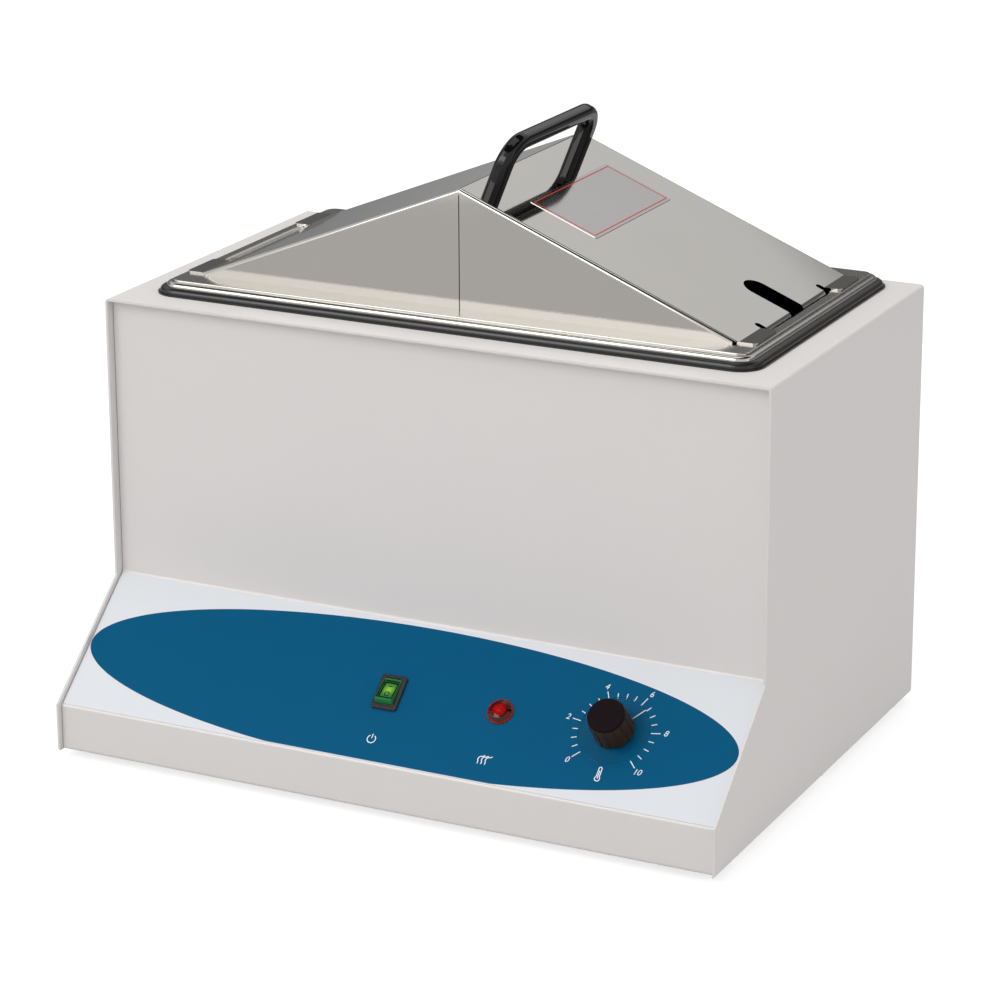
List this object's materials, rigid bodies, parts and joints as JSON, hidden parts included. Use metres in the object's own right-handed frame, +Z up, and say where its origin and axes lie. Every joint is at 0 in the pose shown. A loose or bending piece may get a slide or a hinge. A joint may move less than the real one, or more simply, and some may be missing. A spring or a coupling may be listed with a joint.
{
  "type": "laboratory water bath",
  "caption": "Small bench water bath: folded steel casing with a sloping console, drawn stainless tank, and lift-off gable lid with a bow handle.",
  "frame": {"origin": "on the bench, under the centre of the instrument's bounding box", "axes": "+Z up, -Y towards the user and the control console, +X to the user's right"},
  "size_m": [0.365, 0.2694, 0.3208],
  "materials": {
    "casing_paint": "fine satin powder coat, warm light grey",
    "overlay_film": "printed polyester film, satin",
    "stainless_polished": "polished stainless sheet",
    "tank_stainless": "drawn stainless, bright",
    "gasket_rubber": "moulded rubber, satin black",
    "foot_rubber": "moulded rubber, matte black",
    "gloss_black": "moulded phenolic, gloss black",
    "knob_black": "moulded, satin flanks",
    "knob_cap": "moulded, satin face",
    "clear_disc": "clear acrylic",
    "switch_black": "moulded nylon, satin",
    "rocker_green": "translucent green, lit",
    "lamp_red": "translucent red",
    "lamp_black": "moulded nylon",
    "zinc_steel": "bright zinc plate",
    "brass_plate": "tinned brass",
    "copper_tube": "drawn copper",
    "silicone_mat": "silicone rubber heater mat",
    "alu_plate": "rolled sheet",
    "fibre_blanket": "glass fibre blanket",
    "bakelite_body": "phenolic moulding",
    "terminal_white": "polyamide",
    "inlet_black": "moulded nylon",
    "fuse_glass": "glass tube with plated caps",
    "film_clear": "clear film with a red frame"
  },
  "bodies": {
    "base": {"base_plate": "alu_plate", "base_screws": "zinc_steel", "bulb_clips": "zinc_steel", "capillary_tube": "copper_tube", "casing_wrap": "casing_paint", "control_overlay": "overlay_film", "earth_stud": "zinc_steel", "foot_nuts": "zinc_steel", "foot_screws": "zinc_steel", "front_panel": "casing_paint", "heater_mat": "silicone_mat", "heater_plate": "alu_plate", "inlet_nuts": "zinc_steel", "inlet_pins": "brass_plate", "inlet_screws": "zinc_steel", "insulation_jacket": "fibre_blanket", "insulation_pad": "fibre_blanket", "lamp_body": "lamp_black", "lamp_lens": "lamp_red", "lamp_nut": "zinc_steel", "mains_inlet": "inlet_black", "overheat_cutout": "bakelite_body", "rear_panel": "casing_paint", "rear_screws": "zinc_steel", "rim_gasket": "gasket_rubber", "rubber_feet": "foot_rubber", "sensor_bulb": "copper_tube", "support_screws": "zinc_steel", "switch_blades": "brass_plate", "switch_housing": "switch_black", "tank": "tank_stainless", "tank_support": "zinc_steel", "terminal_block": "terminal_white", "thermostat_body": "bakelite_body", "thermostat_screws": "zinc_steel"},
    "lid": {"lid_shell": "stainless_polished", "lid_handle": "gloss_black", "handle_screws": "zinc_steel", "lid_label": "film_clear"},
    "control_knob": {"knob": "knob_black", "knob_cap": "knob_cap", "dial_disc": "clear_disc", "control_spindle": "zinc_steel"},
    "power_rocker": {"switch_rocker": "rocker_green"},
    "fuse_carrier": {"fuse_drawer": "inlet_black", "fuse": "fuse_glass"}
  },
  "joints": [
    {"name": "lid_lift", "type": "slide", "parent": "base", "child": "lid", "axis": [0, 0, 1], "range_m": [0, 0.15]},
    {"name": "knob_turn", "type": "hinge", "parent": "base", "child": "control_knob", "pos_m": [0.1152, -0.10113, 0.05496], "axis": [0, -0.6523, 0.758], "range_deg": [-94.5, 175.5]},
    {"name": "rocker_tilt", "type": "hinge", "parent": "base", "child": "power_rocker", "pos_m": [-0.0067, -0.10282, 0.05469], "axis": [1, 0, 0], "range_deg": [0, 22]},
    {"name": "fuse_slide", "type": "slide", "parent": "base", "child": "fuse_carrier", "axis": [0, 1, 0], "range_m": [0, 0.018]}
  ]
}
